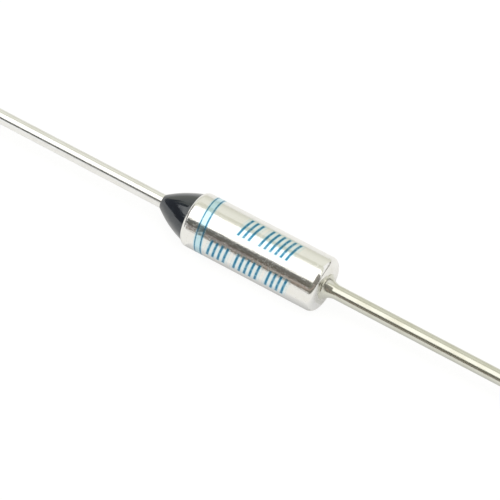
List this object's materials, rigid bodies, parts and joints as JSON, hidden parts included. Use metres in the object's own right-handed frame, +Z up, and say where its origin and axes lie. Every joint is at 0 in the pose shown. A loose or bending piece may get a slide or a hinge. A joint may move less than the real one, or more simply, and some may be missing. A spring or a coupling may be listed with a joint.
{
  "type": "thermal fuse",
  "caption": "Axial thermal fuse: slim plated metal can with a black resin cone at its mouth and a stiff wire lead at each end, opening its circuit for good when it overheats.",
  "frame": {"origin": "on the fuse's axis, halfway along the metal can", "axes": "+X along the axis, from the resin-sealed lead to the lead riveted to the can; +Z up as the fuse lies"},
  "size_m": [0.083, 0.004, 0.004],
  "materials": {
    "silver_plate": "bright silver plate",
    "tinned_wire": "bright tin with drawing marks",
    "pellet_compound": "pressed waxy compound",
    "disc_brass": "stamped",
    "spring_steel": "drawn wire",
    "contact_silver": "silver-plated sheet",
    "bushing_ceramic": "unglazed",
    "black_resin": "cast epoxy, semi-gloss"
  },
  "bodies": {
    "root": {"metal_case": "silver_plate", "case_lead": "tinned_wire", "thermal_pellet": "pellet_compound", "pellet_disc": "disc_brass", "main_spring": "spring_steel", "spring_disc": "disc_brass", "star_contact": "contact_silver", "trip_spring": "spring_steel", "ceramic_bushing": "bushing_ceramic", "isolated_lead": "tinned_wire", "sealing_resin": "black_resin"}
  },
  "joints": []
}
